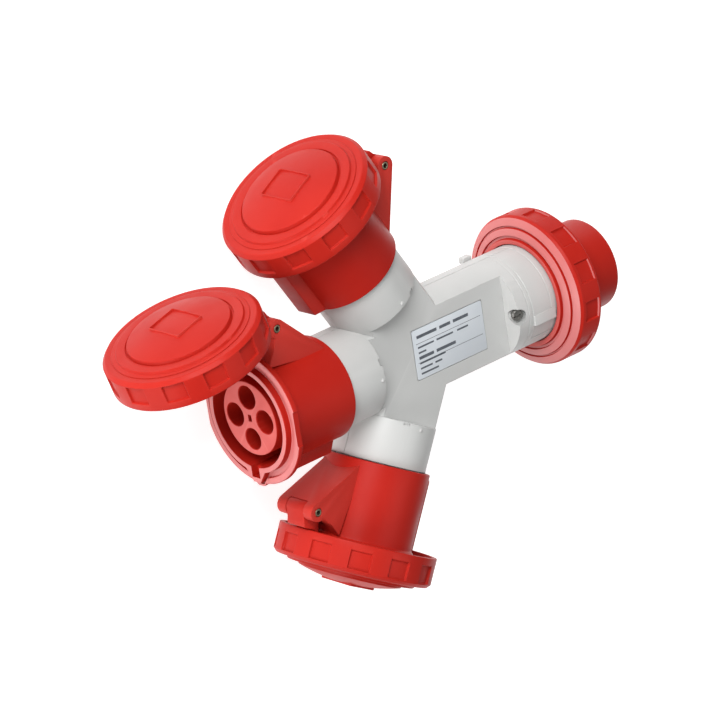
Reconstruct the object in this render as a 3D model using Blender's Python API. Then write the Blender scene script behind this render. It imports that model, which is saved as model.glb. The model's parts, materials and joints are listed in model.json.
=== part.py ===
"""Three-way industrial adaptor: one four-pin plug feeding three lidded sockets. Metres, +Z up.

The origin is the centre of the plug's pin face. +X is the way the plug points, +Z is the front of the body.
"""

import math

import bmesh
import bpy
from mathutils import Matrix, Vector

MM = 0.001
GAP = 0.3 * MM

# Whole layout, measured from the point where the four arms cross.
PLUG_FACE_X = 96.0 * MM
ARM_ANGLE = math.radians(60)
LID_OPEN = math.radians(74.3)

# Body shells.
ARM_R = 25.2 * MM
COLLAR_R = 25.6 * MM
PLUG_ARM_R = 27.2 * MM
PLUG_ARM_END = 90.0 * MM
FLAT_Z = 16.0 * MM
FLAT_END_X = 57.0 * MM
ARM_END = 38.6 * MM
SPIGOT_R = 22.5 * MM
SPIGOT_END = 70.0 * MM
ARM_BORE = 20.0 * MM
PLUG_BORE = 24.7 * MM
CAVITY_Z = 13.4 * MM
BOSS_SPOTS = ((40.0, 17.2), (40.0, -17.2), (-29.4, 17.0), (-29.4, -17.0))

# Sockets, measured along each arm.
HOUSING_REAR = 62.9 * MM
HOUSING_R = 28.3 * MM
HOUSING_BORE = 26.4 * MM
FLANGE_R = 36.3 * MM
FLANGE_REAR = 106.9 * MM
FLANGE_FRONT = 110.2 * MM
RIM_R = 29.3 * MM
RIM_FRONT = 112.6 * MM
RIDGE_P = 34.4 * MM
RIDGE_HALF = 6.5 * MM
INSERT_R = 20.2 * MM
INSERT_FACE = 110.7 * MM
CONTACT_CIRCLE = 11.4 * MM
RECESS_R = 6.3 * MM
KEY_RECESS_R = 5.7 * MM
RECESS_DEPTH = 10.0 * MM
CONTACT_HOLE_R = 4.4 * MM

# Lids and their turning rings.
HINGE_S = 94.6 * MM
HINGE_P = 45.6 * MM
HINGE_HALF = 13.4 * MM
BARREL_R = 5.0 * MM
KNUCKLE_R = 4.7 * MM
KNUCKLE_HALF = 6.5 * MM
PIN_R = 2.0 * MM
RING_R = 42.5 * MM
RING_BORE = 39.8 * MM
RING_REAR = 104.6 * MM
RING_FRONT = 120.9 * MM
RING_WEB_BORE = 36.6 * MM
LUG_R = 35.2 * MM
DOME_R = 27.4 * MM
DOME_EDGE = 124.3 * MM
LID_TOP = 128.6 * MM
GRIPS = 12
GRIP_FIRST = math.radians(9.5)
GRIP_HALF = math.radians(7.7)
GRIP_DEPTH = 1.2 * MM

# Plug.
SHROUD_R = 25.3 * MM
SHROUD_BORE = 21.6 * MM
SHROUD_END = 134.4 * MM
PLUG_RING_R = 42.3 * MM
PLUG_RING_REAR = 84.0 * MM
PLUG_RING_FRONT = 103.2 * MM
PIN_END = 131.0 * MM
PIN_REAR = 74.0 * MM
PHASE_PIN_R = 2.5 * MM
EARTH_PIN_R = 3.5 * MM

ROLLS = (1.7, 0.9, -2.3)

BIG = 32
MEDIUM = 20
SMALL = 10


def clear_scene():
    for obj in list(bpy.data.objects):
        bpy.data.objects.remove(obj, do_unlink=True)
    for mesh in list(bpy.data.meshes):
        bpy.data.meshes.remove(mesh)
    for material in list(bpy.data.materials):
        bpy.data.materials.remove(material)


def material(name, colour, roughness, metallic=0.0):
    made = bpy.data.materials.new(name)
    made.use_nodes = True
    shader = made.node_tree.nodes["Principled BSDF"]
    shader.inputs["Base Color"].default_value = (*colour, 1.0)
    shader.inputs["Roughness"].default_value = roughness
    shader.inputs["Metallic"].default_value = metallic
    made.diffuse_color = (*colour, 1.0)
    return made


def object_of(name, mesh):
    obj = bpy.data.objects.new(name, mesh)
    bpy.context.scene.collection.objects.link(obj)
    return obj


def mesh_object(name, points, faces):
    mesh = bpy.data.meshes.new(name)
    work = bmesh.new()
    verts = [work.verts.new(point) for point in points]
    for face in faces:
        work.faces.new([verts[i] for i in face])
    bmesh.ops.recalc_face_normals(work, faces=work.faces)
    work.to_mesh(mesh)
    work.free()
    return object_of(name, mesh)


def revolve(name, profile, sides=BIG):
    """A closed profile of (distance along X, radius) turned about X. A radius of 0 is a point on the axis."""
    points = []
    rings = []
    for along, radius in profile:
        if radius == 0.0:
            rings.append([len(points)] * sides)
            points.append((along, 0.0, 0.0))
            continue
        rings.append(list(range(len(points), len(points) + sides)))
        for k in range(sides):
            turn = 2 * math.pi * (k + 0.5) / sides
            points.append((along, radius * math.cos(turn), radius * math.sin(turn)))
    faces = []
    for i, ring in enumerate(rings):
        after = rings[(i + 1) % len(rings)]
        for k in range(sides):
            n = (k + 1) % sides
            corners = []
            for corner in (ring[k], ring[n], after[n], after[k]):
                if corner not in corners:
                    corners.append(corner)
            if len(corners) > 2:
                faces.append(corners)
    return mesh_object(name, points, faces)


def tube(name, start, end, outer, inner, sides=BIG):
    return revolve(name, [(start, inner), (start, outer), (end, outer), (end, inner)], sides)


def rod(name, start, end, radius, sides=BIG):
    return revolve(name, [(start, 0.0), (start, radius), (end, radius), (end, 0.0)], sides)


def box(name, low, high):
    x0, y0, z0 = low
    x1, y1, z1 = high
    points = [(x0, y0, z0), (x1, y0, z0), (x1, y1, z0), (x0, y1, z0)]
    points += [(x0, y0, z1), (x1, y0, z1), (x1, y1, z1), (x0, y1, z1)]
    faces = [(0, 3, 2, 1), (4, 5, 6, 7), (0, 1, 5, 4), (1, 2, 6, 5), (2, 3, 7, 6), (3, 0, 4, 7)]
    return mesh_object(name, points, faces)


def prism(name, outline, z0, z1):
    """An outline in X and Y, raised from z0 to z1."""
    count = len(outline)
    points = [(x, y, z0) for x, y in outline] + [(x, y, z1) for x, y in outline]
    faces = [tuple(range(count))[::-1], tuple(range(count, 2 * count))]
    for i in range(count):
        n = (i + 1) % count
        faces.append((i, n, count + n, count + i))
    return mesh_object(name, points, faces)


def move(obj, matrix):
    obj.data.transform(matrix)
    return obj


def along(obj, point, direction):
    """Turns a piece made along X to this direction and moves it to this point."""
    turn = Vector((1, 0, 0)).rotation_difference(Vector(direction)).to_matrix().to_4x4()
    return move(obj, Matrix.Translation(point) @ turn)


def in_triangles(mesh):
    work = bmesh.new()
    work.from_mesh(mesh)
    bmesh.ops.triangulate(work, faces=work.faces)
    work.to_mesh(mesh)
    work.free()


def combine(obj, tools, operation):
    """Adds, cuts or keeps with each tool in turn, then removes the tools."""
    in_triangles(obj.data)
    for tool in tools:
        in_triangles(tool.data)
        step = obj.modifiers.new(operation.lower(), "BOOLEAN")
        step.operation = operation
        step.solver = "EXACT"
        step.object = tool
        tool.hide_render = True
        tool.display_type = "WIRE"
    bpy.context.view_layer.update()
    graph = bpy.context.evaluated_depsgraph_get()
    mesh = bpy.data.meshes.new_from_object(obj.evaluated_get(graph))
    obj.modifiers.clear()
    obj.data = mesh
    for tool in tools:
        bpy.data.objects.remove(tool, do_unlink=True)
    return obj


def cut(obj, *tools):
    return combine(obj, tools, "DIFFERENCE")


def add(obj, *tools):
    return combine(obj, tools, "UNION")


def keep(obj, *tools):
    return combine(obj, tools, "INTERSECT")


def finish(obj, name, surface, matrix=None):
    obj.name = name
    obj.data.name = name
    if matrix is not None:
        move(obj, matrix)
    move(obj, Matrix.Translation((-PLUG_FACE_X, 0, 0)))
    obj.data.materials.clear()
    obj.data.materials.append(surface)
    for face in obj.data.polygons:
        face.use_smooth = True
    obj.data.set_sharp_from_angle(angle=math.radians(30))
    return obj


def arm_frame(angle):
    """Socket frame: X out along the arm, Y towards the hinge, Z towards the back of the body."""
    out = Vector((-math.cos(angle), math.sin(angle), 0))
    hinge = Vector((math.sin(angle), math.cos(angle), 0))
    back = out.cross(hinge)
    return Matrix((out, hinge, back)).transposed().to_4x4()


def lid_turn(angle):
    """Turns a lid about its hinge, from closed."""
    hinge = Matrix.Translation((HINGE_S, HINGE_P, 0))
    return hinge @ Matrix.Rotation(angle, 4, "Z") @ hinge.inverted()


ARMS = {
    "upper": arm_frame(ARM_ANGLE),
    "middle": arm_frame(0.0),
    "lower": arm_frame(-ARM_ANGLE),
}


def spot(k, radius=CONTACT_CIRCLE):
    """Centre of contact k in Y and Z. Contact 0 is the earth, on the keyway side."""
    turn = math.pi + k * math.pi / 2
    return radius * math.cos(turn), radius * math.sin(turn)


# Body shells.


def three_rods(name, start, end, radius):
    """The same rod in each socket arm. The small rolls keep their facets from lining up where they cross."""
    made = []
    for frame, roll in zip(ARMS.values(), ROLLS):
        piece = rod(name, start, end, radius)
        made.append(move(piece, frame @ Matrix.Rotation(math.radians(roll), 4, "X")))
    return made


def trunk_outside():
    body = rod("trunk", -10 * MM, PLUG_ARM_END, PLUG_ARM_R)
    for arm in three_rods("arm", -8 * MM, ARM_END + 6 * MM, ARM_R):
        add(body, arm)
    front = box("front_flat", (-90 * MM, -90 * MM, FLAT_Z), (FLAT_END_X, 90 * MM, 50 * MM))
    back = box("back_flat", (-90 * MM, -90 * MM, -50 * MM), (FLAT_END_X, 90 * MM, -FLAT_Z))
    cut(body, front, back)
    for collar in three_rods("collar", ARM_END, HOUSING_REAR - GAP, COLLAR_R):
        add(body, collar)
    for spigot in three_rods("spigot", HOUSING_REAR - 3 * MM, SPIGOT_END, SPIGOT_R):
        add(body, spigot)
    for frame in ARMS.values():
        cut(body, collar_window(frame))
        add(body, collar_dot(frame))
    return body


def collar_window(frame):
    """The small latch window in the front of a collar's rear edge."""
    window = box("window", (-1.0 * MM, -1.9 * MM, -1.5 * MM), (1.5 * MM, 1.9 * MM, 1.5 * MM))
    turn = Matrix.Rotation(math.radians(21), 4, "X")
    return move(window, frame @ turn @ Matrix.Translation((ARM_END + 0.2 * MM, 0, -COLLAR_R + 0.6 * MM)))


def collar_dot(frame):
    place = (ARM_END + 2.4 * MM, 0, -COLLAR_R + MM)
    return move(along(rod("dot", 0, 1.6 * MM, 1.0 * MM, SMALL), place, (0, 0, -1)), frame)


def trunk_inside():
    hollow = rod("hollow", -6 * MM, PLUG_ARM_END - 20 * MM, PLUG_BORE - 0.4 * MM)
    for arm in three_rods("bore", -4 * MM, ARM_END + 6 * MM, ARM_BORE + 1.5 * MM):
        add(hollow, arm)
    slab = box("slab", (-90 * MM, -90 * MM, -CAVITY_Z), (FLAT_END_X + 4 * MM, 90 * MM, CAVITY_Z))
    plug_room = rod("room", FLAT_END_X + 2.6 * MM, PLUG_ARM_END, PLUG_BORE + 1 * MM)
    keep(hollow, add(slab, plug_room))
    ends = three_rods("end", ARM_END + 2.6 * MM, SPIGOT_END + MM, ARM_BORE)
    mouth = rod("mouth", PLUG_ARM_END - 26 * MM, PLUG_ARM_END + MM, PLUG_BORE)
    add(hollow, mouth)
    for end in ends:
        add(hollow, end)
    return hollow


def bosses():
    made = []
    for x, y in BOSS_SPOTS:
        post = rod("post", -FLAT_Z + MM, FLAT_Z - MM, 4.6 * MM, MEDIUM)
        made.append(along(post, (x * MM, y * MM, 0), (0, 0, 1)))
    return made


def boss_holes():
    made = []
    for x, y in BOSS_SPOTS:
        steps = [(-30 * MM, 0.0), (-30 * MM, 3.7 * MM), (-12.4 * MM, 3.7 * MM), (-12.4 * MM, 1.8 * MM)]
        steps += [(10 * MM, 1.8 * MM), (10 * MM, 0.0)]
        made.append(along(revolve("hole", steps, SMALL), (x * MM, y * MM, 0), (0, 0, 1)))
    return made


SCREW_TILT = math.radians(35)
SCREW_SEAT = Vector((60.8 * MM, 0, 21.0 * MM))


def plug_screw_way(side):
    """Out along a plug screw, on the front (1) or the back (-1)."""
    return Vector((-math.sin(SCREW_TILT), 0, side * math.cos(SCREW_TILT)))


def shells(grey):
    outside = trunk_outside()
    cut(outside, trunk_inside())
    add(outside, *bosses())
    for side in (1, -1):
        seat = Vector((SCREW_SEAT.x, 0, side * SCREW_SEAT.z))
        block = along(rod("block", -5 * MM, 8 * MM, 6.2 * MM, MEDIUM), seat, plug_screw_way(side))
        keep(block, rod("round", 50 * MM, 80 * MM, PLUG_ARM_R - 0.2 * MM))
        step = box("step", (40 * MM, -20 * MM, -30 * MM), (FLAT_END_X + 0.2 * MM, 20 * MM, 30 * MM))
        cut(block, step)
        add(outside, block)
        steps = [(-4 * MM, 0.0), (-4 * MM, 1.8 * MM), (0.0, 1.8 * MM), (0.0, 4.6 * MM)]
        steps += [(20 * MM, 4.6 * MM), (20 * MM, 0.0)]
        cut(outside, along(revolve("hole", steps, MEDIUM), seat, plug_screw_way(side)))
    cut(outside, *boss_holes())
    label = box("bed", (-9.6 * MM, -13.8 * MM, FLAT_Z - 0.5 * MM), (41.6 * MM, 14.2 * MM, 20 * MM))
    cut(outside, label)
    lug = box("lug", (58.5 * MM, 20 * MM, -16.5 * MM), (64.5 * MM, 26.6 * MM, -12.5 * MM))
    cut(lug, rod("clear", 50 * MM, 90 * MM, PLUG_BORE + MM))
    add(outside, lug)
    rib = box("rib", (67 * MM, -8.5 * MM, 22 * MM), (83 * MM, -2.5 * MM, 27.6 * MM))
    cut(rib, rod("clear", 50 * MM, 95 * MM, PLUG_BORE + MM))
    add(outside, rib)
    twin = outside.copy()
    twin.data = outside.data.copy()
    bpy.context.scene.collection.objects.link(twin)
    keep(outside, box("half", (-150 * MM, -150 * MM, GAP / 2), (150 * MM, 150 * MM, 60 * MM)))
    keep(twin, box("half", (-150 * MM, -150 * MM, -60 * MM), (150 * MM, 150 * MM, -GAP / 2)))
    finish(outside, "front_shell", grey)
    finish(twin, "rear_shell", grey)


def rating_plate(surface):
    low = (-9.3 * MM, -13.5 * MM, FLAT_Z - 0.2 * MM)
    finish(box("plate", low, (41.3 * MM, 13.9 * MM, FLAT_Z + 0.3 * MM)), "rating_plate", surface)


def screw(name, point, direction, reach, steel):
    """A pan-head screw whose seat is at the point, with its head out along the direction."""
    steps = [(-reach, 0.0), (-reach, 1.4 * MM), (GAP, 1.4 * MM), (GAP, 3.2 * MM)]
    steps += [(2.0 * MM, 3.2 * MM), (2.6 * MM, 2.4 * MM), (2.6 * MM, 0.0)]
    made = revolve(name, steps, SMALL)
    slot = box("slot", (1.7 * MM, -0.5 * MM, -2.2 * MM), (4 * MM, 0.5 * MM, 2.2 * MM))
    cross = box("cross", (1.7 * MM, -2.2 * MM, -0.5 * MM), (4 * MM, 2.2 * MM, 0.5 * MM))
    cut(made, slot, cross)
    finish(along(made, point, direction), name, steel)


def screws(steel):
    for i, (x, y) in enumerate(BOSS_SPOTS):
        seat = (x * MM, y * MM, -12.4 * MM)
        screw(f"shell_screw_{i + 1}", seat, (0, 0, -1), 20 * MM, steel)
    for name, side in (("plug_screw_front", 1), ("plug_screw_rear", -1)):
        seat = Vector((SCREW_SEAT.x, 0, side * SCREW_SEAT.z))
        screw(name, seat, plug_screw_way(side), 3.4 * MM, steel)


def busbar(k, copper):
    """One flat conductor that joins plug pin k to the same contact of each socket."""
    y, z = spot(k)
    level = z if abs(z) > MM else math.copysign(3.7 * MM, y)
    half = 2.5 * MM
    thick = 0.6 * MM
    low = level - thick
    high = level + thick
    bar = box("bar", (-half, -half, low), (64 * MM if abs(y) > MM else PIN_REAR - GAP, half, high))
    if abs(y) > MM:
        if y > 0:
            tip = [(60 * MM, half), (60 * MM, -half), (66 * MM, -half), (PIN_REAR - GAP, y - half)]
            tip += [(PIN_REAR - GAP, y + half)]
        else:
            tip = [(60 * MM, -half), (PIN_REAR - GAP, y - half), (PIN_REAR - GAP, y + half)]
            tip += [(66 * MM, half), (60 * MM, half)]
        add(bar, prism("tip", tip, low, high))
    for frame in ARMS.values():
        add(bar, socket_branch(y, level, frame, half, thick))
    finish(bar, f"busbar_{k + 1}", copper)


def socket_branch(y, level, frame, half, thick):
    """The part of a busbar inside one socket arm. The arm's Z is the other way up from the body's."""
    low = -level - thick
    high = -level + thick
    end = CONTACT_REAR - GAP
    outline = [(-1.3 * MM, -half), (end, -half), (end, half), (-1.3 * MM, half)]
    if y > MM:
        outline = [(-1.3 * MM, -half), (58 * MM, -half), (end, y - half), (end, y + half)]
        outline += [(52 * MM, half), (-1.3 * MM, half)]
    if y < -MM:
        outline = [(-1.3 * MM, -half), (52 * MM, -half), (end, y - half), (end, y + half)]
        outline += [(58 * MM, half), (-1.3 * MM, half)]
    return move(prism("branch", outline, low, high), frame)


CONTACT_REAR = 68.0 * MM


# Sockets.


def collar_seal(name, frame, rubber):
    made = tube(name, HOUSING_REAR + GAP, SPIGOT_END - MM, HOUSING_BORE - GAP, SPIGOT_R + GAP)
    finish(made, f"collar_seal_{name}", rubber, frame)


def hinge_bracket():
    """The wedge that carries the hinge barrel, with a slot for the lid's knuckle."""
    arc = []
    for k in range(9):
        turn = math.radians(134 - 24.75 * k)
        arc.append((HINGE_S + BARREL_R * math.cos(turn), HINGE_P + BARREL_R * math.sin(turn)))
    outline = [(63.2 * MM, 22.2 * MM), *arc, (99.5 * MM, 34.5 * MM), (104.0 * MM, 27.5 * MM)]
    wedge = prism("wedge", outline, -HINGE_HALF, HINGE_HALF)
    clear = rod("clear", 50 * MM, 130 * MM, HOUSING_BORE + 0.8 * MM)
    back = HINGE_S - 4.4 * MM
    heel = HINGE_S - 2.6 * MM
    outline = [(back, 60 * MM), (back, HINGE_P), (heel, HINGE_P - 6.4 * MM), (heel, 33.2 * MM)]
    outline += [(110 * MM, 33.2 * MM), (110 * MM, 60 * MM)]
    half = KNUCKLE_HALF + GAP
    slot = prism("slot", outline, -half, half)
    room = along(rod("room", -half, half, KNUCKLE_R + 0.4 * MM, MEDIUM), (HINGE_S, HINGE_P, 0), (0, 0, 1))
    return cut(wedge, clear, slot, room)


def key_ridge():
    """The flat-faced ridge over the keyway, the whole length of the housing."""
    low = -RIDGE_P
    outline = [(HOUSING_REAR, -27 * MM), (66.5 * MM, low), (RIM_FRONT - 4 * MM, low), (RIM_FRONT - 4 * MM, -27 * MM)]
    ridge = prism("ridge", outline, -RIDGE_HALF, RIDGE_HALF)
    return cut(ridge, rod("clear", 50 * MM, 130 * MM, HOUSING_BORE + 0.8 * MM))


def key_mouth():
    """The wall round the keyway slot at the mouth. It narrows away from the rim."""
    outline = [(-27.4 * MM, -9.2 * MM), (-27.4 * MM, 9.2 * MM), (-31.4 * MM, 8.6 * MM), (-35.6 * MM, 4.3 * MM)]
    outline += [(-35.6 * MM, -4.3 * MM), (-31.4 * MM, -8.6 * MM)]
    wall = prism("wall", outline, 100 * MM, RIM_FRONT)
    turned = Matrix(((0, 0, 1, 0), (1, 0, 0, 0), (0, 1, 0, 0), (0, 0, 0, 1)))
    return move(wall, turned)


def housing(name, frame, red):
    steps = [(HOUSING_REAR, HOUSING_BORE), (HOUSING_REAR, HOUSING_R - 0.5 * MM), (HOUSING_REAR + 0.5 * MM, HOUSING_R)]
    steps += [(FLANGE_REAR - 2.5 * MM, HOUSING_R), (FLANGE_REAR, HOUSING_R + 2.5 * MM), (FLANGE_REAR, FLANGE_R)]
    steps += [(FLANGE_FRONT, FLANGE_R), (FLANGE_FRONT, 32.6 * MM), (108.7 * MM, 32.6 * MM), (108.7 * MM, RIM_R)]
    steps += [(RIM_FRONT, RIM_R), (RIM_FRONT, HOUSING_BORE)]
    made = revolve(name, steps)
    add(made, hinge_bracket(), key_ridge(), key_mouth())
    low = (72 * MM, -32.2 * MM, -3.1 * MM)
    slot = box("slot", low, (130 * MM, -20 * MM, 3.1 * MM))
    low = (103 * MM, 34.2 * MM, -KNUCKLE_HALF - MM)
    relief = box("relief", low, (130 * MM, 60 * MM, KNUCKLE_HALF + MM))
    notches = []
    for side in (1, -1):
        low = (FLANGE_REAR - 4 * MM, -9.6 * MM, 34.4 * MM if side > 0 else -60 * MM)
        high = (130 * MM, 9.6 * MM, 60 * MM if side > 0 else -34.4 * MM)
        notches.append(box("notch", low, high))
    pin_hole = rod("pin_hole", -20 * MM, 20 * MM, PIN_R + GAP, SMALL)
    along(pin_hole, (HINGE_S, HINGE_P, 0), (0, 0, 1))
    cut(made, slot, relief, *notches, pin_hole)
    finish(made, f"housing_{name}", red, frame)


def contact_holes(start, end, phase, earth):
    """Four straight holes on the contact circle, the first of them for the earth."""
    made = []
    for k in range(4):
        y, z = spot(k)
        hole = rod("hole", start, end, earth if k == 0 else phase, MEDIUM)
        made.append(move(hole, Matrix.Translation((0, y, z))))
    return made


def insert(name, frame, red):
    """The front plate with the four recesses, and the deeper base that holds the contacts behind it."""
    split = INSERT_FACE - RECESS_DEPTH
    plate = rod("plate", split, INSERT_FACE, INSERT_R)
    centre = box("centre", (split - MM, -1.2 * MM, -1.8 * MM), (120 * MM, 1.2 * MM, 1.8 * MM))
    cut(plate, *contact_holes(split - MM, 120 * MM, RECESS_R, KEY_RECESS_R), centre)
    finish(plate, f"insert_{name}", red, frame)
    base = revolve("base", [(72 * MM, 0.0), (72 * MM, 26.1 * MM), (80 * MM, 26.1 * MM), (80 * MM, INSERT_R),
                            (split - GAP, INSERT_R), (split - GAP, 0.0)])
    cut(base, *contact_holes(60 * MM, 120 * MM, CONTACT_HOLE_R, CONTACT_HOLE_R))
    finish(base, f"insert_base_{name}", red, frame)


def contacts(name, frame, brass):
    for k in range(4):
        y, z = spot(k)
        bore = EARTH_PIN_R if k == 0 else PHASE_PIN_R
        end = INSERT_FACE - RECESS_DEPTH - 1.5 * MM
        steps = [(CONTACT_REAR, 0.0), (CONTACT_REAR, 4.1 * MM), (end, 4.1 * MM), (end, bore + 0.2 * MM)]
        steps += [(CONTACT_REAR + 8 * MM, bore + 0.2 * MM), (CONTACT_REAR + 8 * MM, 0.0)]
        made = move(revolve(name, steps, SMALL), Matrix.Translation((0, y, z)))
        finish(made, f"contact_{name}_{k + 1}", brass, frame)


def square_frame():
    """The raised plain frame on the lid's dome."""
    half = (9.0 * MM, 11.5 * MM)
    inner = (half[0] - 0.8 * MM, half[1] - 0.8 * MM)
    made = box("frame", (LID_TOP - 3 * MM, -half[0], -half[1]), (LID_TOP + 0.3 * MM, half[0], half[1]))
    return cut(made, box("inner", (LID_TOP - 5 * MM, -inner[0], -inner[1]), (LID_TOP + 3 * MM, inner[0], inner[1])))


def dome():
    """Profile of the lid's shallow dome, from its edge to the middle."""
    rise = LID_TOP - DOME_EDGE
    ball = (DOME_R ** 2 + rise ** 2) / (2 * rise)
    steps = []
    for part in (1.0, 0.8, 0.58, 0.34):
        radius = DOME_R * part
        steps.append((LID_TOP - ball + math.sqrt(ball ** 2 - radius ** 2), radius))
    return steps + [(LID_TOP, 0.0)]


def lid_arm():
    """The arm and knuckle that join the lid to its hinge pin."""
    outline = [(114.5 * MM, 36.2 * MM), (104.4 * MM, 36.2 * MM), (98.5 * MM, 38.0 * MM)]
    for k in range(9):
        turn = math.radians(-105 - 22 * k)
        outline.append((HINGE_S + KNUCKLE_R * math.cos(turn), HINGE_P + KNUCKLE_R * math.sin(turn)))
    outline += [(104.2 * MM, 46.5 * MM), (104.2 * MM, 38.7 * MM), (114.5 * MM, 38.7 * MM)]
    return prism("arm", outline, -KNUCKLE_HALF, KNUCKLE_HALF)


def lid(name, matrix, red):
    seat = RIM_FRONT + GAP
    steps = [(115.9 * MM, 0.0), (115.9 * MM, 33.3 * MM), (seat, 33.3 * MM), (seat, RING_BORE - 0.4 * MM)]
    steps += [(115.9 * MM, RING_BORE - 0.4 * MM), (115.9 * MM, 36.2 * MM), (121.4 * MM, 36.2 * MM)]
    steps += [(122.1 * MM, 35.4 * MM), (122.5 * MM, DOME_R + 0.8 * MM)] + dome()
    made = revolve(name, steps)
    add(made, square_frame(), lid_arm())
    cut(made, along(rod("bore", -20 * MM, 20 * MM, PIN_R + GAP, SMALL), (HINGE_S, HINGE_P, 0), (0, 0, 1)))
    finish(made, f"lid_{name}", red, matrix)


def lid_ring(name, matrix, red):
    steps = [(RING_REAR, RING_BORE), (RING_REAR, RING_R), (118.8 * MM, RING_R), (120.3 * MM, RING_R - 0.6 * MM)]
    steps += [(RING_FRONT, RING_R - 2 * MM), (RING_FRONT, RING_WEB_BORE), (116.2 * MM, RING_WEB_BORE)]
    steps += [(116.2 * MM, RING_BORE)]
    made = revolve(name, steps)
    add(made, *ring_lugs(RING_REAR, RING_REAR + 2 * MM, RING_BORE + MM))
    cut(made, *grip_pockets(108.9 * MM, 118.6 * MM, RING_R))
    finish(made, f"lid_ring_{name}", red, matrix)


def ring_lugs(start, end, root):
    """Two inward lugs, on the front and back sides."""
    made = []
    for side in (1, -1):
        z0 = side * (LUG_R + 0.1 * MM)
        z1 = side * (root - 0.4 * MM)
        made.append(box("lug", (start, -5.6 * MM, min(z0, z1)), (end, 5.6 * MM, max(z0, z1))))
    return made


def grip_pockets(start, end, radius):
    made = []
    half = radius * math.sin(GRIP_HALF)
    for k in range(GRIPS):
        turn = GRIP_FIRST + 2 * math.pi * k / GRIPS
        low = (start, radius * math.cos(GRIP_HALF) - GRIP_DEPTH + 0.3 * MM, -half)
        pocket = box("pocket", low, (end, radius + 3 * MM, half))
        made.append(move(pocket, Matrix.Rotation(turn, 4, "X")))
    return made


def lid_gasket(name, matrix, rubber):
    seat = RIM_FRONT + GAP
    finish(tube(name, seat, 115.6 * MM, 33.0 * MM, 25.5 * MM), f"lid_gasket_{name}", rubber, matrix)


def hinge_pin(name, frame, steel):
    steps = [(-HINGE_HALF, 0.0), (-HINGE_HALF, PIN_R), (HINGE_HALF, PIN_R), (HINGE_HALF, 1.2 * MM)]
    steps += [(HINGE_HALF - 2 * MM, 1.2 * MM), (HINGE_HALF - 2 * MM, 0.0)]
    made = along(revolve(name, steps, SMALL), (HINGE_S, HINGE_P, 0), (0, 0, -1))
    finish(made, f"hinge_pin_{name}", steel, frame)


# Plug.


def plug_shroud(red):
    steps = [(76 * MM, SHROUD_BORE), (76 * MM, PLUG_BORE - GAP), (PLUG_ARM_END + GAP, PLUG_BORE - GAP)]
    steps += [(PLUG_ARM_END + GAP, 30.0 * MM), (PLUG_FACE_X, 30.0 * MM), (PLUG_FACE_X, SHROUD_R)]
    steps += [(SHROUD_END - MM, SHROUD_R), (SHROUD_END, SHROUD_R - MM), (SHROUD_END, SHROUD_BORE)]
    made = revolve("shroud", steps)
    low = (98.5 * MM, -2.6 * MM, -30.6 * MM)
    key = box("key", low, (SHROUD_END - 4 * MM, 2.6 * MM, -23 * MM))
    add(made, key)
    finish(made, "plug_shroud", red)


def pin_carrier(red):
    steps = [(79.5 * MM, 0.0), (79.5 * MM, SHROUD_BORE - GAP), (PLUG_FACE_X - 0.8 * MM, SHROUD_BORE - GAP)]
    steps += [(PLUG_FACE_X, SHROUD_BORE - GAP - 0.8 * MM), (PLUG_FACE_X, 0.0)]
    made = revolve("carrier", steps)
    holes = []
    for k in range(4):
        y, z = spot(k)
        wide = EARTH_PIN_R if k == 0 else PHASE_PIN_R
        hole = rod("hole", 60 * MM, 110 * MM, wide + GAP, 16)
        holes.append(move(hole, Matrix.Translation((0, y, z))))
    finish(cut(made, *holes), "pin_carrier", red)


def plug_pins(brass):
    for k in range(4):
        y, z = spot(k)
        wide = EARTH_PIN_R if k == 0 else PHASE_PIN_R
        steps = [(PIN_REAR, 0.0), (PIN_REAR, wide), (PIN_END - 1.5 * MM, wide), (PIN_END, wide - 1.2 * MM), (PIN_END, 0.0)]
        made = move(revolve("pin", steps, 16), Matrix.Translation((0, y, z)))
        finish(made, f"plug_pin_{k + 1}", brass)


def plug_ring(red):
    rear = PLUG_RING_REAR
    steps = [(rear, 27.7 * MM), (rear, 33.0 * MM), (rear + 1.6 * MM, 33.4 * MM), (rear + 1.6 * MM, 34.4 * MM)]
    steps += [(rear + 0.8 * MM, 34.8 * MM), (rear + 1.4 * MM, 39.4 * MM), (rear + 4 * MM, 41.4 * MM)]
    steps += [(rear + 6 * MM, PLUG_RING_R), (PLUG_RING_FRONT - MM, PLUG_RING_R), (PLUG_RING_FRONT, PLUG_RING_R - MM)]
    steps += [(PLUG_RING_FRONT, 39.2 * MM), (97.0 * MM, 39.2 * MM), (97.0 * MM, 30.4 * MM)]
    steps += [(PLUG_ARM_END - 0.2 * MM, 30.4 * MM), (PLUG_ARM_END - 0.2 * MM, 27.7 * MM)]
    made = revolve("ring", steps)
    add(made, *ring_lugs(PLUG_RING_FRONT - 2.2 * MM, PLUG_RING_FRONT - 0.2 * MM, 39.9 * MM))
    cut(made, *grip_pockets(91.5 * MM, 101.5 * MM, PLUG_RING_R))
    finish(made, "plug_ring", red)


def plug_gasket(rubber):
    finish(tube("seal", PLUG_FACE_X + GAP, 98.2 * MM, 30.0 * MM, 25.7 * MM), "plug_gasket", rubber)


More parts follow.
